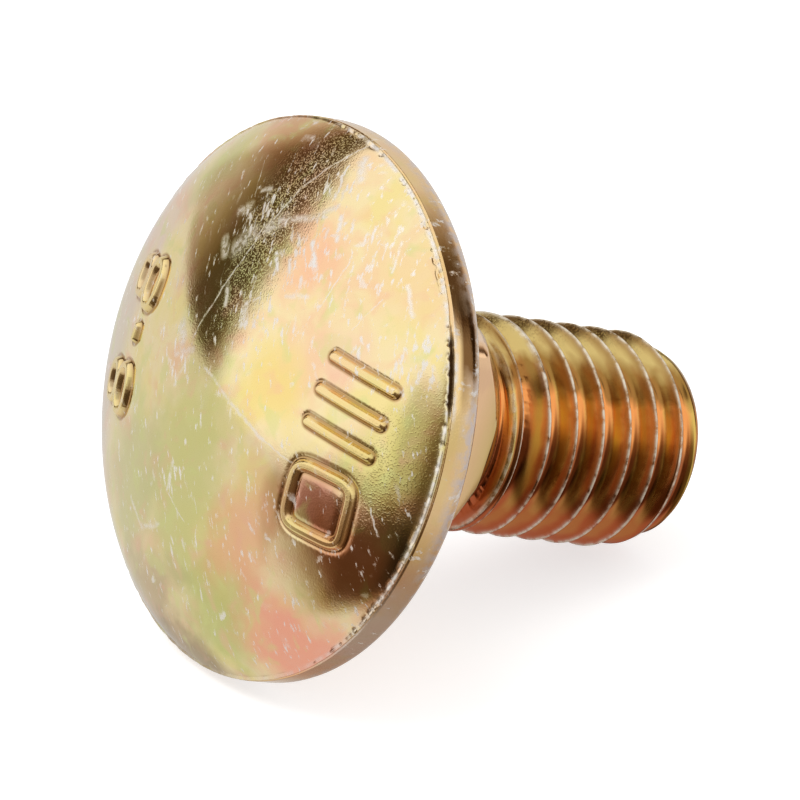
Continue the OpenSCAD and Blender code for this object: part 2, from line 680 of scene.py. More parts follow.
class BoltForging:
    """The whole bolt as one closed skin: head, square neck and thread."""

    columns = 216
    seam_deg = 20.0
    mark_reach = 0.6
    far_from_marks = 9.0
    marks_from = 3.0
    lip_past = 0.1
    split_levels = ((0.42, 0.32), (0.3, 0.22), (0.21, 0.0))
    hard_knock = 0.32
    nick_count = 300
    nick_depth = 0.09
    plain_rings = 17

    def __init__(self, axes: BoltAxes) -> None:
        """Takes the axes that the bolt lies on.

        Args:
            axes: The bolt's axes in the row frame.
        """
        self.axes = axes
        self.head = HeadForm()
        self.neck = NeckForm()
        self.thread = ThreadForm()
        self.marks = MarkForm()

    def angles(self) -> np.ndarray:
        """The columns' angles, evenly spaced from the seam on the far side."""
        share = np.arange(self.columns) / self.columns
        return math.radians(self.seam_deg) + TURN * share

    def mark_gap(self, angle: np.ndarray, where: np.ndarray) -> np.ndarray:
        """How far each point of the head is from the nearest raised line, measured flat from in front.

        Args:
            angle: Angles round the head.
            where: Lengths along its section's line.

        Returns:
            The distances in millimetres, or far_from_marks in the middle of the dome and off it.
        """
        gap = np.full(len(where), self.far_from_marks)
        near = (where > self.marks_from) & (where < self.head.dome_run())
        radius = self.head.at(where[near])[0]
        gap[near] = self.marks.nearest(-radius * np.cos(angle[near]), radius * np.sin(angle[near]))
        return gap

    def head_net(self) -> tuple[np.ndarray, np.ndarray, np.ndarray, np.ndarray]:
        """The head's net over angle and length along its section, split finer at the marks and the flash.

        Returns:
            Angles, lengths, triangles, and the point numbers of the last ring.
        """
        rings = self.head.rings()
        angle = np.concatenate([[0.0], np.tile(self.angles(), len(rings))])
        where = np.concatenate([[0.0], np.repeat(rings, self.columns)])
        ids = 1 + np.arange(len(rings) * self.columns).reshape(len(rings), self.columns)
        fan = np.column_stack([np.zeros(self.columns, int), ids[0], np.roll(ids[0], -1)])
        tris = np.concatenate([fan] + [ring_triangles(ids[i], ids[i + 1]) for i in range(len(rings) - 1)])
        lip = self.head.dome_run() + self.lip_past
        for level, (mark_band, flash_band) in enumerate(self.split_levels):
            at_mark = self.mark_gap(angle, where)[tris].min(axis=1) < mark_band
            at_flash = np.abs(where - lip)[tris].max(axis=1) < flash_band
            hard = self.knocked(angle)[tris].max(axis=1) > self.hard_knock
            tris, ends = split_edges(tris, at_mark | (at_flash & (hard | (level == 0))), len(where))
            step = (angle[ends[:, 1]] - angle[ends[:, 0]] + math.pi) % TURN - math.pi
            angle = np.concatenate([angle, angle[ends[:, 0]] + step / 2])
            where = np.concatenate([where, (where[ends[:, 0]] + where[ends[:, 1]]) / 2])
        return angle, where, tris, ids[-1]

    def nicks(self, angle: np.ndarray) -> np.ndarray:
        """Depth of the knocks along the flash line: a sum of narrow bell curves at random places.

        Args:
            angle: Angles round the head.

        Returns:
            The depths, in millimetres.
        """
        chance = np.random.default_rng(7)
        middle = chance.uniform(0.0, TURN, self.nick_count)
        width = chance.uniform(0.002, 0.013, self.nick_count)
        depth = chance.uniform(0.01, 0.08, self.nick_count)
        away = (angle[:, None] - middle + math.pi) % TURN - math.pi
        return self.knocked(angle) * np.minimum((depth * bell(away, width)).sum(axis=1), self.nick_depth)

    def knocked(self, angle: np.ndarray) -> np.ndarray:
        """How hard the flash line is knocked: fully from the top to the open seam, and little elsewhere."""
        turn = np.degrees(angle) % 360.0
        return 0.3 + 0.7 * smoothstep(78.0, 96.0, turn) * (1.0 - smoothstep(200.0, 232.0, turn))

    def gape(self, angle: np.ndarray) -> np.ndarray:
        """How far, in millimetres, the seam behind the flash lip is open: a hair, and a gap at one place."""
        turn = np.degrees(angle) % 360.0
        return 0.02 + 0.25 * smoothstep(138.0, 153.0, turn) * (1.0 - smoothstep(158.0, 167.0, turn))

    def add_head(self, net: Net) -> np.ndarray:
        """Adds the head: the marks rise outwards from its section, and knocks and the seam cut into it.

        Args:
            net: The skin.

        Returns:
            The point numbers of the last ring, on the flat underside.
        """
        angle, where, tris, last = self.head_net()
        x, z, out_x, out_z = self.head.at(where)
        past = where - self.head.dome_run()
        gap = self.mark_gap(angle, where)
        rise = np.where(gap < self.mark_reach, self.marks.rise(gap), 0.0)
        nicks, flash = self.nicks(angle), bell(past - 0.06, 0.09)
        gape = self.gape(angle) * (0.85 + 2.5 * nicks)
        seam = bell(past - 0.17, 0.035 + 0.3 * gape) * gape
        x = x + rise * out_x - nicks * flash - 0.8 * seam
        z = z + rise * out_z - 0.5 * nicks * flash - 0.4 * seam
        lip = bell(past - 0.35, 0.06) * np.clip(gape * 5.0 - 0.1, 0.0, 1.0)
        net.add(
            self.axes.place(x, angle, -z),
            worn=np.maximum(flash * self.knocked(angle), lip),
            stamp=np.clip(1.0 - gap / self.mark_reach, 0.0, 1.0),
            crevice=np.clip(seam * 9.0 - 0.2, 0.0, 1.0) * np.clip(gape * 6.0 - 0.12, 0.0, 1.0),
            rim=smoothstep(0.2, 0.28, past),
        )
        net.faces.append(tris)
        return last

    def add_neck(self, net: Net, last: np.ndarray) -> np.ndarray:
        """Adds the square neck and the plain length up to the thread.

        Args:
            net: The skin.
            last: The ring to join to.

        Returns:
            The point numbers of the last ring, where the thread's net starts.
        """
        columns = self.angles()
        underside_r = self.head.head_d / 2 - self.head.rim_r
        radii, depths = self.neck.rings(columns, underside_r, self.thread.plain_r())
        depth = np.linspace(self.neck.length + 0.2, self.thread.start, self.plain_rings)
        plain = depth[:, None] + 0.0 * columns
        radii = np.concatenate([radii, self.thread.run_out(plain)])
        depths = np.concatenate([depths, plain])
        points = self.axes.place(radii.ravel(), np.tile(columns, len(radii)), depths.ravel())
        groove = np.where(depths.ravel() > self.neck.length + 0.02, 0.12, net.away_from_thread)
        ids = net.add(points, groove=groove).reshape(radii.shape)
        net.join(np.concatenate([last[None, :], ids]))
        return ids[-1]

    def add_thread(self, net: Net, last: np.ndarray) -> np.ndarray:
        """Adds the thread, and leaves out the triangles that its net has flattened at either end.

        Args:
            net: The skin.
            last: The ring to join to.

        Returns:
            The point numbers of the last ring, round the end face.
        """
        columns = self.angles()
        angle, depth, tris = self.thread.net(columns)
        end_r = np.full(self.columns, self.thread.tip_d / 2)
        ring = net.add(self.axes.place(end_r, columns, np.full(self.columns, self.thread.end)))
        inner = net.add(
            self.axes.place(self.thread.radius(angle, depth), angle, depth),
            # On the thread, this layer also carries the crest edges' painted highlight
            worn=self.thread.crest_edge(angle, depth),
            groove=self.thread.groove_share(angle, depth),
        )
        solid = np.concatenate([last, ring, inner])[tris]
        kept = (solid[:, 0] != solid[:, 1]) & (solid[:, 1] != solid[:, 2]) & (solid[:, 2] != solid[:, 0])
        net.faces.append(solid[kept])
        return ring

    def add_end(self, net: Net, last: np.ndarray) -> None:
        """Adds the end face, with a shallow dish in its middle.

        Args:
            net: The skin.
            last: The ring round the end face.
        """
        end_r, end = self.thread.tip_d / 2, self.thread.end
        rings = np.array([[end_r - 0.06, 0.0], [end_r - 0.5, 0.0], [1.4, 0.03], [0.5, 0.05]])
        radii, depths = np.repeat(rings[:, 0], self.columns), np.repeat(end - rings[:, 1], self.columns)
        points = self.axes.place(radii, np.tile(self.angles(), len(rings)), depths)
        ids = net.add(points).reshape(-1, self.columns)
        centre = net.add(self.axes.place(np.zeros(1), np.zeros(1), np.array([end - rings[-1, 1]])))
        net.join(np.concatenate([last[None, :], ids]))
        net.faces.append(np.column_stack([ids[-1], np.full(self.columns, centre[0]), np.roll(ids[-1], -1)]))

    def build(self) -> bpy.types.Object:
        """Adds the bolt's stages to one skin, each joined to the ring where the one before it ends.

        Returns:
            The bolt's object.
        """
        net = Net()
        underside = self.add_head(net)
        thread_start = self.add_neck(net, underside)
        end_ring = self.add_thread(net, thread_start)
        self.add_end(net, end_ring)
        return net.to_object("bolt_forging")


def linear(colour: str) -> tuple[float, float, float, float]:
    """Turns an sRGB hex colour into the linear values that a shader takes.

    Args:
        colour: A colour such as "#c8a850".

    Returns:
        Red, green, blue and an alpha of 1, linear.
    """
    parts = np.array([int(colour[i : i + 2], 16) for i in (1, 3, 5)]) / 255.0
    light = np.where(parts <= 0.04045, parts / 12.92, ((parts + 0.055) / 1.055) ** 2.4)
    return float(light[0]), float(light[1]), float(light[2]), 1.0


class Nodes:
    """The nodes of a material or a world, which starts without any."""

    def __init__(self, owner: bpy.types.Material | bpy.types.World) -> None:
        """Empties the owner's node tree.

        Args:
            owner: The material or world.
        """
        owner.use_nodes = True
        self.tree = owner.node_tree
        self.tree.nodes.clear()

    def put(self, kind: str, inputs: tuple | dict = (), take: int | str = 0, **settings: object) -> Socket:
        """Adds a node with its settings, and links or sets its inputs.

        Args:
            kind: The node's type without "ShaderNode" and, after a space, its operation if it has one.
            inputs: Sockets to link and values to set, in the inputs' order or under their names or numbers.
            take: The name or number of the output to give.
            **settings: The node's own settings.

        Returns:
            The output, or nothing where the node has none.
        """
        base, _, operation = kind.partition(" ")
        node = self.tree.nodes.new("ShaderNode" + base)
        if operation:
            node.operation = operation
        for name, value in settings.items():
            setattr(node, name, value)
        for name, value in inputs.items() if isinstance(inputs, dict) else enumerate(inputs):
            if isinstance(value, Socket):
                self.tree.links.new(value, node.inputs[name])
            else:
                node.inputs[name].default_value = value
        return node.outputs[take] if len(node.outputs) else None

    def coats(self, colour: Socket | str, *films: tuple[Socket, Socket | str]) -> Socket:
        """Lays coats of colour over a colour, one after another.

        Args:
            colour: The colour below, as a socket or in hex.
            *films: For each coat, how much of it there is, from 0 to 1, and its colour.

        Returns:
            The colour that shows.
        """
        for share, film in films:
            below, above = (linear(one) if isinstance(one, str) else one for one in (colour, film))
            colour = self.put("Mix", {0: share, 6: below, 7: above}, 2, data_type="RGBA")
        return colour

    def product(self, *shares: Socket) -> Socket:
        """Multiplies shares, one after another.

        Args:
            *shares: The shares.

        Returns:
            Their product.
        """
        total = shares[0]
        for share in shares[1:]:
            total = self.put("Math MULTIPLY", (total, share))
        return total


def made(kind: type, *rows: tuple) -> tuple:
    """Makes one of a kind of each row of a table."""
    return tuple(kind(*row) for row in rows)


@dataclass(frozen=True)
class TintPatch:
    """A soft patch of another colour: mostly where the passivation film is another thickness, and in one
    place a painted shade.

    Across, up and reach are in millimetres on the dome seen from in front.
    """

    across: float
    upward: float
    reach_across: float
    reach_up: float
    colour: str
    strength: float
    turn_deg: float = 0.0


@dataclass(frozen=True)
class SoftPlace:
    """A soft-edged oval on the dome seen from in front, where there is more of something.

    All lengths are in millimetres.
    """

    across: float
    upward: float
    reach_across: float
    reach_up: float
    strength: float
    turn_deg: float = 0.0


@dataclass(frozen=True)
class Scratch:
    """A straight scratch on the dome seen from in front: its two ends and its width, in millimetres."""

    start: tuple[float, float]
    end: tuple[float, float]
    width: float
    strength: float = 0.8


@dataclass(frozen=True)
class FleckLayer:
    """Many small knocks of one kind: stretched cells, of which only some are kept.

    The turn is from the bolt's upward axis, the cells' width and length are in millimetres, and the size
    of a knock is a share of its cell.
    """

    turn_deg: float
    width: float
    length: float
    size: float
    keep: float
    bend: float
    strength: float
    shift: float


class Skin(Nodes):
    """A material's nodes, with each point's place in the bolt's own axes, in millimetres.

    Depth is below the underside of the head, side is to the side and upper is up, square to both.
    """

    def __init__(self, owner: bpy.types.Material, axes: BoltAxes) -> None:
        """Works out the place from the object's own coordinates.

        Args:
            owner: The material.
            axes: The bolt's axes, which the patterns follow.
        """
        super().__init__(owner)
        turn = (0.0, -math.radians(axes.rest_tilt_deg), 0.0)
        lies = {"Vector": self.put("TexCoord", take="Object"), "Rotation": turn, "Scale": (1.0 / MM,) * 3}
        self.place = self.put("Mapping", lies)
        self.depth, self.side, self.upper = self.put("SeparateXYZ", (self.place,)).node.outputs
        self.flat = self.put("CombineXYZ", (self.side, self.upper))

    def away_from(self, spot: SoftPlace | TintPatch) -> Socket:
        """Measures from a spot's middle, in the spot's own directions.

        Args:
            spot: The spot.

        Returns:
            How far each point is away, as a share of the spot's reach.
        """
        lies = {
            "Vector": self.flat,
            "Location": (-spot.across, spot.upward, 0.0),
            "Rotation": (0.0, 0.0, math.radians(spot.turn_deg)),
            "Scale": (spot.reach_across, spot.reach_up, 1.0),
        }
        laid = self.put("Mapping", lies, vector_type="TEXTURE")
        return self.put("VectorMath LENGTH", (laid,), "Value")

    def within(self, places: tuple[SoftPlace, ...]) -> Socket:
        """How far inside any of several soft places each point is, with uneven edges.

        Args:
            places: The soft places.

        Returns:
            0 to the greatest strength.
        """
        wave = self.put("TexNoise", {"Vector": self.place, "Scale": 1.3, "Detail": 2.0})
        total = 0.0
        for place in places:
            uneven = self.put("Math MULTIPLY_ADD", (wave, 0.8, self.away_from(place)))
            share = self.put("MapRange", (uneven, 0.8, 1.7, place.strength, 0.0))
            total = self.put("Math MAXIMUM", (total, share))
        return total


@dataclass(frozen=True)
class YellowZinc:
    """Electroplated zinc under a yellow chromate film, on cold-forged steel.

    The film is thin enough to show interference colours: straw gold with green and pink patches, and a deep
    orange brown in the thread. Knocks and rubbed edges bare the whitish zinc. Painted light and shade lie in
    the
    colour too: painted highlights on the marks' tops, the thread's crests and top, and the neck; painted
    shade at the marks' feet, in the seam, in a strip on the rim, in a band and along the underside of the
    thread, and left of the frame; and a pale painted sheen on the rim's back edge.
    """

    gold: str = "#fbe6b2"
    peach: str = "#fbd0a6"
    yellow: str = "#f8e394"
    green: str = "#dfe093"
    pink: str = "#fbbfa4"
    # Painted highlight: gold on the thread's top and at the neck's end
    thread_highlight_gold: str = "#dac07a"
    thread_orange: str = "#f5a05a"
    # Painted shade: reddish brown on the thread's lower side
    thread_low_shade: str = "#b86c42"
    # Painted shade: dark red along the thread's underside
    thread_under_shade: str = "#ac4f2d"
    # Painted shade: a dark band across the thread at one height
    thread_shade: str = "#946a34"
    # Painted reflection: olive on the mid flanks of the grooves
    thread_flank_reflection: str = "#d4bc62"
    # Painted shade: brown on the flanks next to each crest
    thread_near_crest_shade: str = "#93642f"
    # Painted highlight: bright peach over the neck, from the head's underside to the run-out
    neck_highlight_peach: str = "#ffd2aa"
    zinc: str = "#efe9e2"
    # Painted highlight: pale colour along the thread's crest edges, partly rubbed zinc
    crest_highlight: str = "#f4ecda"
    # Painted shade: brown round the feet and sides of the raised marks
    bead_foot_shade: str = "#a8763c"
    # Painted highlight: bright gold on the tops of the raised marks
    bead_top_highlight: str = "#fbdc92"
    # Painted shade: dark brown in the open seam's crevice, where its shadow falls
    seam_painted_shade: str = "#5a3e1e"
    # Partly a painted sheen: pale lilac on the rim's back edge, partly its whitish scuffed film
    rim_lilac_sheen: str = "#d6cac6"
    rim_gold: str = "#f2c488"
    # Painted shade: a dark brown strip on the rim, standing in for a dark reflection
    rim_painted_shade: str = "#7a5630"
    roughness: float = 0.085
    wave_depth: float = 3.0e-6
    grain_depth: float = 2.5e-6
    pit_depth: float = 5.5e-6
    patches: tuple[TintPatch, ...] = made(
        TintPatch,
        (-0.2, -3.4, 2.9, 5.2, "#dcd78e", 0.85),
        (2.5, -7.5, 2.1, 1.9, "#cdd080", 0.8),
        (-3.8, -4.8, 2.6, 3.6, "#d8d296", 0.8),
        (-2.6, -8.6, 3.4, 1.7, "#c9b48c", 0.8, -20.0),
        (3.2, -6.2, 1.8, 1.4, "#d6cc80", 0.75),
        (0.2, -9.6, 3.4, 1.1, "#a88e66", 0.85),
        # Painted shade: a soft brown shade ring left of the frame
        (4.5, -2.6, 0.6, 1.9, "#b48c5a", 0.7),
        (-8.0, -1.6, 1.9, 6.5, "#e4d3c0", 0.8),
        (-8.2, 4.2, 2.4, 2.6, "#f1d6c4", 0.75),
        (-5.4, 6.6, 0.9, 2.2, "#d3d08a", 0.6, 30.0),
        (-2.2, 9.1, 2.9, 1.9, "#dca672", 0.75),
        (-0.9, 3.4, 1.7, 3.0, "#c9cb82", 0.65, 10.0),
        (3.4, -3.9, 1.7, 2.8, "#fbbf90", 0.75, 25.0),
        (6.4, -7.2, 3.3, 2.2, "#ffb195", 0.95, 25.0),
        (6.4, -1.6, 1.5, 1.4, "#cf8672", 0.85),
        (2.4, 5.6, 1.5, 1.6, "#fdc9a0", 0.7),
        (5.4, 3.4, 1.4, 1.2, "#fbcfb4", 0.55),
        (3.2, 1.4, 1.8, 1.6, "#fae08a", 0.8),
        (6.2, 6.6, 2.0, 1.6, "#fbd7a0", 0.6),
        (9.0, 1.4, 1.2, 2.6, "#d8cc78", 0.8),
        (7.8, 0.3, 1.6, 1.6, "#ddd07c", 0.7),
        (8.0, -2.8, 2.0, 1.8, "#dd9468", 0.8),
    )
    scratches: tuple[Scratch, ...] = made(
        Scratch,
        ((-1.75, 1.4), (-0.9, 4.7), 0.075, 0.7),
        ((-0.9, 4.7), (-0.14, 7.5), 0.075, 0.65),
        ((-0.14, 7.5), (1.05, 9.75), 0.075, 0.6),
        ((-0.5, 0.65), (1.55, 0.02), 0.12, 0.5),
        ((1.5, 0.05), (3.45, -0.5), 0.13, 0.6),
        ((3.4, -0.5), (4.95, -0.7), 0.07, 0.5),
        ((1.88, 6.26), (2.6, 5.5), 0.2, 1.0),
        ((0.59, 5.33), (0.99, 4.87), 0.18, 1.0),
        ((1.33, 5.39), (1.61, 5.04), 0.16, 0.9),
        ((2.37, 7.41), (2.77, 6.73), 0.18, 0.9),
        ((-0.53, 5.9), (0.0, 6.41), 0.44, 0.62),
        ((0.0, 6.41), (1.37, 7.05), 0.26, 0.6),
        ((1.37, 7.05), (1.92, 7.66), 0.2, 0.55),
        ((-1.96, 6.79), (-1.51, 7.04), 0.18, 0.65),
        ((-2.5, 5.82), (-2.11, 6.16), 0.32, 0.6),
        ((-2.44, 4.72), (-2.03, 4.34), 0.36, 0.7),
        ((-1.6, 4.75), (-1.16, 5.43), 0.6, 0.65),
        ((1.44, 9.32), (2.07, 8.77), 0.28, 0.7),
        ((0.4, 3.31), (0.54, 2.61), 0.26, 0.8),
        ((-2.67, 1.39), (-2.33, 0.95), 0.4, 0.7),
        ((-1.05, 3.5), (-0.7, 2.9), 0.2, 0.7),
        ((3.78, 6.3), (3.63, 4.34), 0.05, 0.7),
        ((2.0, 4.3), (2.9, 4.6), 0.16, 0.5),
        ((6.28, 6.48), (7.05, 5.57), 0.14, 0.7),
        ((5.1, 7.6), (5.5, 6.6), 0.1, 0.7),
        ((-0.91, -3.08), (-1.0, -4.16), 0.15, 0.6),
        ((-1.0, -4.16), (0.31, -4.83), 0.05, 0.6),
        ((-3.66, -5.45), (-2.57, -6.19), 0.14, 0.5),
        ((-2.57, -6.19), (-1.37, -5.57), 0.16, 0.5),
        ((-2.5, 0.4), (-1.5, 0.9), 0.24, 0.5),
        ((-2.0, -0.6), (-1.6, 0.6), 0.12, 0.4),
        ((8.4, -0.95), (8.84, -1.73), 0.06, 0.8),
        ((-2.9, 7.67), (-2.14, 6.5), 0.04, 0.5),
        ((-1.82, 8.93), (-1.42, 9.07), 0.2, 0.65),
        ((5.75, 5.69), (5.25, 4.34), 0.04, 0.6),
    )
    scuffed: tuple[SoftPlace, ...] = made(
        SoftPlace,
        (-1.1, 5.9, 1.7, 1.3, 1.0),
        (2.3, 5.6, 1.6, 1.4, 0.75),
        (1.4, 3.2, 1.5, 1.4, 0.75),
        (-2.3, 0.2, 1.0, 0.9, 1.0),
        (4.5, 7.0, 2.4, 2.0, 0.55),
        (8.0, 4.2, 1.0, 1.6, 0.8),
        (-0.7, -3.8, 0.7, 0.9, 0.7),
        (1.6, 8.4, 1.0, 0.8, 0.9),
        (5.6, 4.2, 1.4, 1.2, 0.5),
    )
    # Where the rim's painted shade lies
    shaded: tuple[SoftPlace, ...] = (SoftPlace(8.4, 5.2, 1.2, 2.3, 0.7),)
    # Where the rim's pale lilac, partly a painted sheen, is strongest
    paled: tuple[SoftPlace, ...] = (SoftPlace(8.2, -5.4, 2.2, 3.2, 0.65),)
    grained: tuple[SoftPlace, ...] = made(
        SoftPlace,
        (-0.3, 6.4, 1.5, 3.9, 1.0),
        (8.6, 1.2, 1.4, 2.8, 0.6),
    )
    layers: tuple[FleckLayer, ...] = made(
        FleckLayer,
        (28.0, 0.4, 1.4, 0.26, 0.88, 0.4, 1.0, 0.0),
        (48.0, 0.3, 0.9, 0.28, 0.87, 0.6, 0.8, 7.3),
        (16.0, 0.5, 2.2, 0.16, 0.84, 0.3, 0.8, 13.7),
        (-38.0, 0.5, 1.0, 0.24, 0.84, 0.9, 0.8, 3.1),
        (75.0, 0.6, 3.6, 0.05, 0.66, 0.1, 0.6, 5.9),
        (-62.0, 0.7, 4.4, 0.04, 0.7, 0.1, 0.5, 17.3),
        (20.0, 0.9, 5.0, 0.03, 0.6, 0.1, 0.5, 23.9),
    )

    def make(self, axes: BoltAxes) -> bpy.types.Material:
        """Builds the finish.

        Args:
            axes: The bolt's axes, which the patterns follow.

        Returns:
            The material.
        """
        # Bright zinc under a thin chromate film: a smooth metal mirror, tinted from straw gold to pink, with
        # painted highlights and shade laid into its colour
        material = bpy.data.materials.new("yellow_chromate_zinc")
        skin = Skin(material, axes)
        put, depth = skin.put, skin.depth
        names = ("worn", "stamp", "rim", "crevice")
        worn, stamp, rim, crevice = (put("Attribute", take="Fac", attribute_name=name) for name in names)
        foot = put("MapRange", (stamp, 0.42, 0.56))
        crown = put("MapRange", (stamp, 0.62, 0.8))
        ring = put("Math SUBTRACT", (foot, crown), use_clamp=True)
        grit = put("TexNoise", {"Vector": skin.place, "Scale": 3.0, "Detail": 4.0})
        bare = put("MapRange", (grit, 0.35, 0.58, 0.15, 1.0))
        bare = put("Math MULTIPLY", (bare, worn), use_clamp=True)
        # Bared zinc: real bare zinc on the head, and a painted highlight on the thread's crests
        zinc_and_crest_highlight = skin.coats(self.crest_highlight, (put("MapRange", (depth, 0.0, -0.5)), self.zinc))
        scuff = self.scuffs(skin)
        shade = self.rim_shade(skin, rim)
        haze_and_sheen = self.rim_haze_and_sheen(skin, rim, shade)
        colour = skin.coats(
            self.thread_film(skin, self.film(skin)),
            (put("Math MULTIPLY", (ring, 0.75)), self.bead_foot_shade),
            # painted shade round the marks' feet
            (put("Math MULTIPLY", (crown, 0.5)), self.bead_top_highlight),
            # painted highlight on the marks' tops
            (put("Math MULTIPLY", (rim, 0.55)), self.rim_gold),
            # painted shade in a strip on the rim
            (shade, self.rim_painted_shade),
            # pale lilac on the rim: partly painted sheen, partly whitish film
            (haze_and_sheen, self.rim_lilac_sheen),
            # bared zinc on the head, painted highlight on the thread's crests
            (bare, zinc_and_crest_highlight),
            (scuff, self.zinc),
            # painted shade in the open seam's crevice
            (crevice, self.seam_painted_shade),
        )
        cloud = put("TexNoise", {"Vector": skin.place, "Scale": 0.9, "Detail": 2.0})
        rough = put("MapRange", (cloud, 0.3, 0.7, self.roughness - 0.02, self.roughness + 0.03))
        rough = put("Math ADD", (rough, put("MapRange", (depth, -1.6, 0.3, 0.0, 0.07))))
        rough = put("Math MULTIPLY_ADD", (crown, 0.12, rough))
        rubbed = put("Math MAXIMUM", (scuff, bare))
        for dull in (crevice, put("Math MULTIPLY", (haze_and_sheen, 0.5))):
            rubbed = put("Math MAXIMUM", (rubbed, dull))
        metal = {
            "Base Color": colour,
            "Metallic": put("Math MULTIPLY_ADD", (rubbed, -0.55, 1.0)),
            "Roughness": put("Math MULTIPLY_ADD", (rubbed, 0.3, rough)),
            "Normal": self.relief(skin),
        }
        put("OutputMaterial", {"Surface": put("BsdfPrincipled", metal)})
        return material

    def rim_shade(self, skin: Skin, rim: Socket) -> Socket:
        """How much painted shade is on the rim, a dark brown strip in its shaded places, strongest behind the
        flash line.

        Args:
            skin: The material's nodes.
            rim: 1 on the rim.

        Returns:
            0 to 1.
        """
        shade = skin.product(skin.within(self.shaded), rim)
        behind_flash = skin.put("MapRange", (skin.depth, -1.2, -1.0, 0.0, 1.4))
        shade = skin.put("Math MULTIPLY", (shade, behind_flash), use_clamp=True)
        return skin.product(shade, skin.put("MapRange", (skin.depth, -0.5, -0.25, 1.0, 0.2)))

    def rim_haze_and_sheen(self, skin: Skin, rim: Socket, shade: Socket) -> Socket:
        """How much pale lilac is on the rim, partly its whitish scuffed film and partly a painted sheen:
        mottled by 0.4 mm towards its back edge, off the painted shade, and more in its pale places.

        Args:
            skin: The material's nodes.
            rim: 1 on the rim.
            shade: How much painted shade there is.

        Returns:
            0 to 1.
        """
        back = skin.put("MapRange", (skin.depth, -1.05, -0.5, 0.0, 0.9))
        mottle = skin.put("TexNoise", {"Vector": skin.place, "Scale": 2.6, "Detail": 3.0})
        mottle = skin.put("MapRange", (mottle, 0.42, 0.56, 0.25, 1.0))
        haze_and_sheen = skin.product(back, mottle, rim, skin.put("Math SUBTRACT", (1.0, shade)))
        return skin.put("Math MAXIMUM", (haze_and_sheen, skin.product(skin.within(self.paled), rim)))

    def relief(self, skin: Skin) -> Socket:
        """The skin's fine relief: slow waves of 1 mm, a grain of 0.07 mm that comes and goes, and pits
        where the grain is high in the grained places.

        Args:
            skin: The material's nodes.

        Returns:
            The normal.
        """
        put, place = skin.put, skin.place
        slow = put("TexNoise", {"Vector": place, "Scale": 1.1, "Detail": 2.0})
        wavy = put("Bump", {"Height": slow, "Strength": 1.0, "Distance": self.wave_depth})
        fine = put("TexNoise", {"Vector": place, "Scale": 15.0, "Detail": 1.0, "Roughness": 0.5})
        comes = put("TexNoise", {"Vector": place, "Scale": 0.4, "Detail": 3.0})
        comes = put("MapRange", (comes, 0.4, 0.62, 0.12, 0.8))
        amount = skin.product(comes, put("MapRange", (skin.depth, -0.4, 0.2, 1.0, 0.25)))
        grain = {"Height": fine, "Strength": amount, "Distance": self.grain_depth, "Normal": wavy}
        pits = {
            "Height": put("MapRange", (fine, 0.54, 0.7)),
            "Strength": skin.within(self.grained),
            "Distance": self.pit_depth,
            "Normal": put("Bump", grain),
        }
        return put("Bump", pits)

    def film(self, skin: Skin) -> Socket:
        """The straw gold film with its soft clouds, 2 to 5 mm across, and its placed patches, one of them a
        painted brown shade left of the frame.

        Args:
            skin: The material's nodes.

        Returns:
            The film's colour.
        """
        put = skin.put
        cloud = skin.put("TexNoise", {"Vector": skin.place, "Scale": 0.42, "Detail": 3.0, "Distortion": 0.7})
        colour = skin.coats(
            self.gold,
            (put("MapRange", (cloud, 0.5, 0.66, 0.0, 0.8)), self.peach),
            (put("MapRange", (cloud, 0.48, 0.36, 0.0, 0.7)), self.yellow),
        )
        wave = skin.put("TexNoise", {"Vector": skin.place, "Scale": 0.7, "Detail": 3.0})
        for patch in self.patches:
            uneven = put("Math MULTIPLY_ADD", (wave, 1.1, skin.away_from(patch)))
            share = put("MapRange", (uneven, 0.9, 1.75, patch.strength, 0.0), interpolation_type="SMOOTHSTEP")
            colour = skin.coats(colour, (share, patch.colour))
        spots = skin.put("TexNoise", {"Vector": skin.place, "Scale": 0.95, "Detail": 2.5, "Distortion": 0.5})
        return skin.coats(
            colour,
            (put("MapRange", (spots, 0.56, 0.72, 0.0, 0.4)), self.pink),
            (put("MapRange", (spots, 0.44, 0.32, 0.0, 0.5)), self.green),
        )

    def thread_film(self, skin: Skin, colour: Socket) -> Socket:
        """The thicker film behind the head, orange at mid height, with painted light and shade by height: a
        painted gold highlight above, a painted dark band, and painted reddish-brown and red shade below.
        Olive and brown clouds, 0.5 to 2 mm across, follow the grooves as painted reflection on the mid flanks
        and painted shade near each crest. The neck carries a painted peach highlight, with a gold one at its
        end.

        Args:
            skin: The material's nodes.
            colour: The film's colour on the head.

        Returns:
            The colour with the thread's film and its painted light and shade mixed in behind the head.
        """
        put, depth = skin.put, skin.depth
        streaks = put("VectorMath MULTIPLY", (skin.place, (2.2, 0.55, 0.55)))
        cloud = put("TexNoise", {"Vector": streaks, "Scale": 1.0, "Detail": 2.0, "Distortion": 0.4})
        height = put("Math MULTIPLY_ADD", (cloud, 1.2, skin.upper))
        groove = put("Attribute", take="Fac", attribute_name="groove")
        groove = put("Math MULTIPLY_ADD", (cloud, 0.5, groove))
        flank = skin.product(
            put("MapRange", (groove, 0.48, 0.66, 0.0, 0.8)),
            put("MapRange", (groove, 0.8, 1.0, 1.0, 0.0)),
        )
        # The band at the neck's end, where a painted gold highlight goes
        neck_end = skin.product(
            put("MapRange", (depth, 4.3, 5.3, 0.0, 0.75)),
            put("MapRange", (depth, 5.4, 5.5, 1.0, 0.0)),
        )
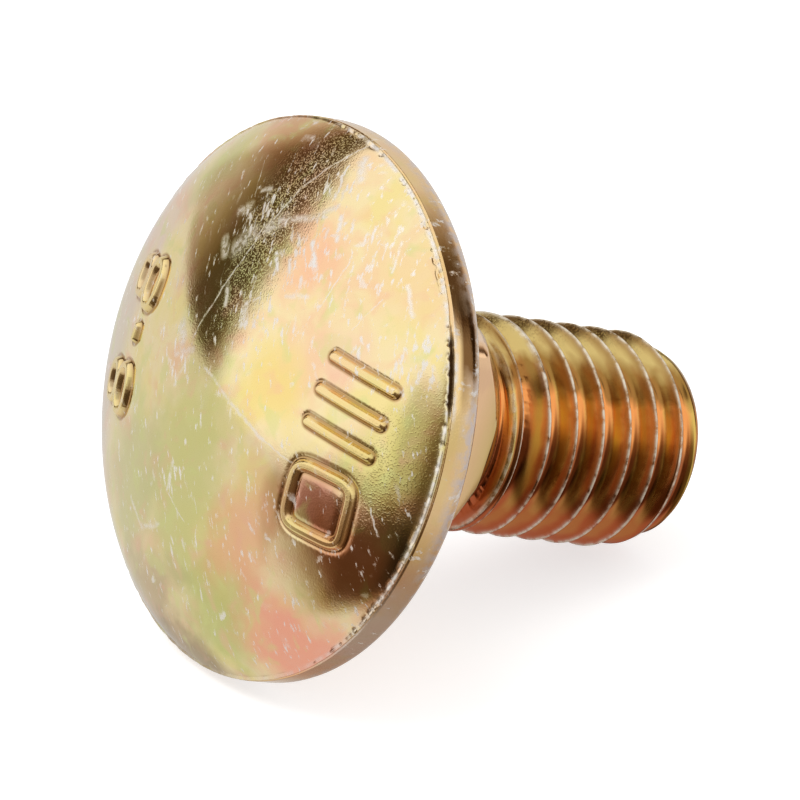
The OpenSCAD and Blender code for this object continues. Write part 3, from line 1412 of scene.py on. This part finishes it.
        # Painted light and shade over the orange film: shade below, reflection and shade by groove depth, a
        # dark band, a highlight above
        deep = skin.coats(
            self.thread_orange,
            (put("MapRange", (height, 1.9, 1.1)), self.thread_low_shade),
            (flank, self.thread_flank_reflection),
            (put("MapRange", (height, 2.85, 3.15, 0.0, 0.85)), self.thread_shade),
            (put("MapRange", (height, 3.6, 4.0, 0.0, 0.9)), self.thread_highlight_gold),
            (put("MapRange", (groove, 0.62, 0.4, 0.0, 0.65)), self.thread_near_crest_shade),
            (put("MapRange", (height, 0.2, -1.6, 0.0, 0.8)), self.thread_under_shade),
            # painted highlight over the neck
            (put("MapRange", (depth, 5.2, 5.8, 0.85, 0.0)), self.neck_highlight_peach),
            # painted gold highlight at the neck's end
            (neck_end, self.thread_highlight_gold),
        )
        return skin.coats(colour, (put("MapRange", (depth, -1.2, 0.3)), deep))

    def scratch(self, skin: Skin, flat: Socket, mark: Scratch) -> Socket:
        """One placed scratch: full near the line between its ends, then fading to its width.

        Args:
            skin: The material's nodes.
            flat: Place across and up the dome, in millimetres.
            mark: The scratch.

        Returns:
            0 to 1, how deep it is.
        """
        put = skin.put
        run = np.array(mark.end) - np.array(mark.start)
        length = float(np.hypot(*run))
        way = (float(run[0]) / length, float(run[1]) / length, 0.0)
        away = put("VectorMath SUBTRACT", (flat, (*mark.start, 0.0)))
        along = put("VectorMath DOT_PRODUCT", (away, way), "Value")
        along = put("Clamp", (along, 0.0, length))
        foot = put("VectorMath SCALE", {0: way, "Scale": along})
        gap = put("VectorMath DISTANCE", (away, foot), "Value")
        return put("MapRange", (gap, mark.width * 0.15, mark.width * 0.8, mark.strength, 0.0))

    def flecks(self, skin: Skin, warp: Socket, layer: FleckLayer) -> Socket:
        """One layer of flecks: stretched cells, kept only where a cell's own random number is high.

        Args:
            skin: The material's nodes.
            warp: Noise that bends them.
            layer: The layer.

        Returns:
            0 to 1, how bare the zinc is.
        """
        put = skin.put
        lies = {
            "Vector": put("VectorMath MULTIPLY_ADD", (warp, (layer.bend,) * 3, skin.place)),
            "Location": (layer.shift, 0.0, 0.0),
            "Rotation": (math.radians(-layer.turn_deg), 0.0, 0.0),
            "Scale": (1.2, layer.width, layer.length),
        }
        laid = put("Mapping", lies, vector_type="TEXTURE")
        cell = put("TexVoronoi", {"Vector": laid, "Scale": 1.0}, "Distance")
        blob = put("MapRange", (cell, layer.size, layer.size * 0.5, 0.0, layer.strength))
        chance = put("SeparateColor", (cell.node.outputs["Color"],))
        chosen = put("MapRange", (chance, layer.keep - 0.02, 1.0))
        return skin.product(blob, put("Math POWER", (chosen, 0.6)))

    def scuffs(self, skin: Skin) -> Socket:
        """Nicks and rubbed flecks from tumbling with other bolts: layers of flecks on the dome, ragged
        scuffs, more in the scuffed places, and placed scratches.

        Args:
            skin: The material's nodes.

        Returns:
            0 to 1, how bare the zinc is.
        """
        put, depth, place = skin.put, skin.depth, skin.place
        warp = put("TexNoise", {"Vector": place, "Scale": 1.6, "Detail": 5.0, "Roughness": 0.6}, "Color")
        warp = put("VectorMath SUBTRACT", (warp, (0.5, 0.5, 0.5)))
        fleck = 0.0
        for layer in self.layers:
            fleck = put("Math MAXIMUM", (fleck, self.flecks(skin, warp, layer)))
        dense = put("TexNoise", {"Vector": place, "Scale": 0.45, "Detail": 3.0})
        dense = put("MapRange", (dense, 0.44, 0.56, 0.1, 1.0))
        fleck = skin.product(fleck, dense, put("MapRange", (depth, -1.75, -1.6, 1.0, 0.0)))
        lies = {"Vector": place, "Rotation": (math.radians(-24.0), 0.0, 0.0), "Scale": (0.6, 0.19, 0.5)}
        laid = put("Mapping", lies, vector_type="TEXTURE")
        ragged = put("TexNoise", {"Vector": laid, "Scale": 1.0, "Detail": 4.0, "Roughness": 0.6})
        ragged = put("Math MULTIPLY_ADD", (skin.within(self.scuffed), 0.1, ragged))
        ragged = put("MapRange", (ragged, 0.61, 0.7, 0.0, 0.85))
        flat = put("CombineXYZ", (put("Math MULTIPLY", (skin.side, -1.0)), skin.upper))
        bent = put("VectorMath MULTIPLY_ADD", (warp, (0.3, 0.3, 0.0), flat))
        placed = 0.0
        for mark in self.scratches:
            placed = put("Math MAXIMUM", (placed, self.scratch(skin, bent, mark)))
        broken = put("TexNoise", {"Vector": place, "Scale": 5.0, "Detail": 3.0})
        placed = skin.product(placed, put("MapRange", (broken, 0.4, 0.5, 0.4, 1.0)))
        total = put("Math MAXIMUM", (put("Math MAXIMUM", (fleck, ragged)), placed))
        return skin.product(total, put("MapRange", (depth, -0.3, 0.1, 1.0, 0.0)))


@dataclass(frozen=True)
class DimArea:
    """A soft-edged dim area round the studio, which the bright metal shows. Angles are in degrees.

    Its light rises from level to core inside, between the shares core_to and core_from of the way out.
    """

    azimuth: float
    elevation: float
    half_width: float
    half_height: float
    softness: float
    level: float
    power: float = 2.0
    lean: float = 0.0
    core: float = 0.0
    core_from: float = 0.4
    core_to: float = 0.72
    over_floor: bool = True


@dataclass(frozen=True)
class Studio:
    """The plain floor, the soft light and the camera."""

    floor_z: float = -0.009102
    floor_half: float = 0.6
    camera_at: tuple[float, float, float] = (-0.106682, -0.167826, 0.096515)
    look_down_deg: float = 25.88
    heading_deg: float = 56.614
    lens: float = 283.26
    floor_light: float = 0.75
    floor_glow: float = 0.62
    floor_grey: str = "#d8d8d8"
    matt_light: float = 0.8
    dim_tint: str = "#ffd2a0"
    areas: tuple[DimArea, ...] = (
        DimArea(50.0, 0.0, 80.5, 48.2, 0.055, 0.09, 3.6, 0.0, 0.75, 0.48, 0.9, False),
        DimArea(-114.0, -16.0, 38.0, 53.0, 0.34, 0.19),
        DimArea(-112.0, 81.0, 26.0, 10.0, 0.35, 0.12),
        DimArea(-152.0, 14.0, 24.0, 20.0, 0.35, 0.64),
        DimArea(-164.0, -14.0, 37.0, 17.5, 0.35, 0.15, 2.0, -0.2),
        DimArea(-10.0, -80.0, 120.0, 45.0, 0.4, 0.5),
    )

    def camera(self) -> bpy.types.Object:
        """Makes the camera: it looks along its heading and down by its fixed angle.

        Returns:
            The camera's object.
        """
        heading, down = math.radians(self.heading_deg), math.radians(self.look_down_deg)
        level = Vector((math.cos(heading), math.sin(heading), 0.0))
        forward = level * math.cos(down) - Vector((0.0, 0.0, 1.0)) * math.sin(down)
        upward = level * math.sin(down) + Vector((0.0, 0.0, 1.0)) * math.cos(down)
        right = forward.cross(upward)
        data = bpy.data.cameras.new("camera")
        data.lens = self.lens
        data.sensor_width = 36.0
        data.clip_start = 0.01
        data.clip_end = 20.0
        camera = bpy.data.objects.new("camera", data)
        turned = Matrix((right, upward, -forward)).transposed().to_4x4()
        camera.matrix_world = Matrix.Translation(self.camera_at) @ turned
        bpy.context.scene.collection.objects.link(camera)
        bpy.context.scene.camera = camera
        return camera

    def floor(self) -> bpy.types.Object:
        """Makes the floor, which keeps the bolt's shadow.

        Returns:
            The floor's object.
        """
        half = self.floor_half
        mesh = bpy.data.meshes.new("floor")
        corners = np.array([[-half, -half], [half, -half], [half, half], [-half, half]])
        flat = np.column_stack([corners, np.full(4, self.floor_z)])
        mesh.from_pydata(flat.tolist(), [], [(0, 1, 2, 3)])
        floor = bpy.data.objects.new("floor", mesh)
        bpy.context.scene.collection.objects.link(floor)
        # Matt white board that glows a little to the camera, so that the paper white has only a soft shadow
        material = bpy.data.materials.new("matt_white_board")
        put = Nodes(material).put
        ray = put("LightPath").node.outputs
        seen = put("Math MAXIMUM", (ray["Is Camera Ray"], ray["Is Transmission Ray"]))
        glow = put("Emission", {"Color": WHITE, "Strength": self.floor_glow})
        shown = put("MixShader", (seen, put("Emission", {"Strength": 0.0}), glow))
        lit = put("BsdfDiffuse", {"Color": linear(self.floor_grey)})
        put("OutputMaterial", {"Surface": put("AddShader", (lit, shown))})
        mesh.materials.append(material)
        floor.visible_glossy = False
        return floor

    def lamps(self) -> None:
        """Makes one wide soft lamp above, for the shadow. The metal shows only the world instead."""
        data = bpy.data.lights.new("soft_lamp", "AREA")
        data.shape = "DISK"
        data.size = 0.5
        data.energy = 1.6
        lamp = bpy.data.objects.new("soft_lamp", data)
        lamp.location = (-0.2, 0.1, 0.5)
        lamp.rotation_euler = (-lamp.location).to_track_quat("-Z", "Y").to_euler()
        lamp.visible_glossy = False
        bpy.context.scene.collection.objects.link(lamp)

    def world(self) -> None:
        """Makes the surroundings: white to the camera, plain light on matt surfaces, and for the metal a
        white room above the floor's edge, a dimmer floor below it and the dim areas between the lamps.

        Azimuth is the arc tangent of a direction's two level parts and elevation the arc sine of the third.
        """
        world = bpy.data.worlds.new("studio")
        bpy.context.scene.world = world
        nodes = Nodes(world)
        put = nodes.put
        x, y, z = put("SeparateXYZ", (put("TexCoord", take="Generated"),)).node.outputs
        around = put("Math MULTIPLY", (put("Math ARCTAN2", (y, x)), 180.0 / math.pi))
        height = put("Math MULTIPLY", (put("Math ARCSINE", (z,)), 180.0 / math.pi))
        level = 1.0
        for area in self.areas:
            if not area.over_floor:
                level = self.dim(nodes, around, height, level, area)
        above = put("MapRange", (height, 0.7, 2.7), interpolation_type="SMOOTHSTEP")
        level = put("Mix", {0: above, 2: self.floor_light, 3: level}, data_type="FLOAT")
        for area in self.areas:
            if area.over_floor:
                level = self.dim(nodes, around, height, level, area)
        ray = put("LightPath").node.outputs
        plain = put("Mix", {0: ray["Is Glossy Ray"], 2: self.matt_light, 3: level}, data_type="FLOAT")
        seen = put("Mix", {0: ray["Is Camera Ray"], 2: plain, 3: 1.0}, data_type="FLOAT")
        tint = nodes.coats(self.dim_tint, (put("MapRange", (seen, 0.1, 0.7)), "#ffffff"))
        put("OutputWorld", {"Surface": put("Background", {"Color": tint, "Strength": seen})})

    def dim(self, nodes: Nodes, around: Socket, height: Socket, level: Light, area: DimArea) -> Socket:
        """Darkens one area of the surroundings: a superellipse in azimuth and elevation with a soft edge.

        Args:
            nodes: The world's nodes.
            around: Azimuth, in degrees.
            height: Elevation, in degrees.
            level: The light so far.
            area: The area.

        Returns:
            The light with the area dimmed.
        """
        put = nodes.put
        off = put("Math WRAP", (put("Math SUBTRACT", (around, area.azimuth)), 180.0, -180.0))
        up = put("Math SUBTRACT", (put("Math MULTIPLY_ADD", (off, -area.lean, height)), area.elevation))
        total = 0.0
        for value, reach in ((off, area.half_width), (up, area.half_height)):
            size = put("Math ABSOLUTE", (put("Math MULTIPLY", (value, 1.0 / reach)),))
            total = put("Math ADD", (total, put("Math POWER", (size, area.power))))
        far = put("Math POWER", (total, 1.0 / area.power))
        inner, outer = 1.0 - area.softness, 1.0 + area.softness
        share = put("MapRange", (far, inner, outer, area.level, 1.0), interpolation_type="SMOOTHSTEP")
        if area.core > 0.0:
            core = (far, area.core_from, area.core_to, area.core, 0.0)
            share = put("Math MAXIMUM", (share, put("MapRange", core, interpolation_type="SMOOTHSTEP")))
        return nodes.product(level, share)


def main() -> None:
    """Builds the studio and the bolt."""
    logging.basicConfig(level=logging.INFO, format="%(message)s")
    bpy.context.scene.view_settings.view_transform = "Standard"
    studio = Studio()
    studio.camera()
    studio.floor()
    studio.lamps()
    studio.world()
    axes = BoltAxes()
    bolt = BoltForging(axes).build()
    bolt.data.materials.append(YellowZinc().make(axes))
    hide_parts("bolt")
    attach(bolt, "root")


if __name__ == "__main__":
    main()
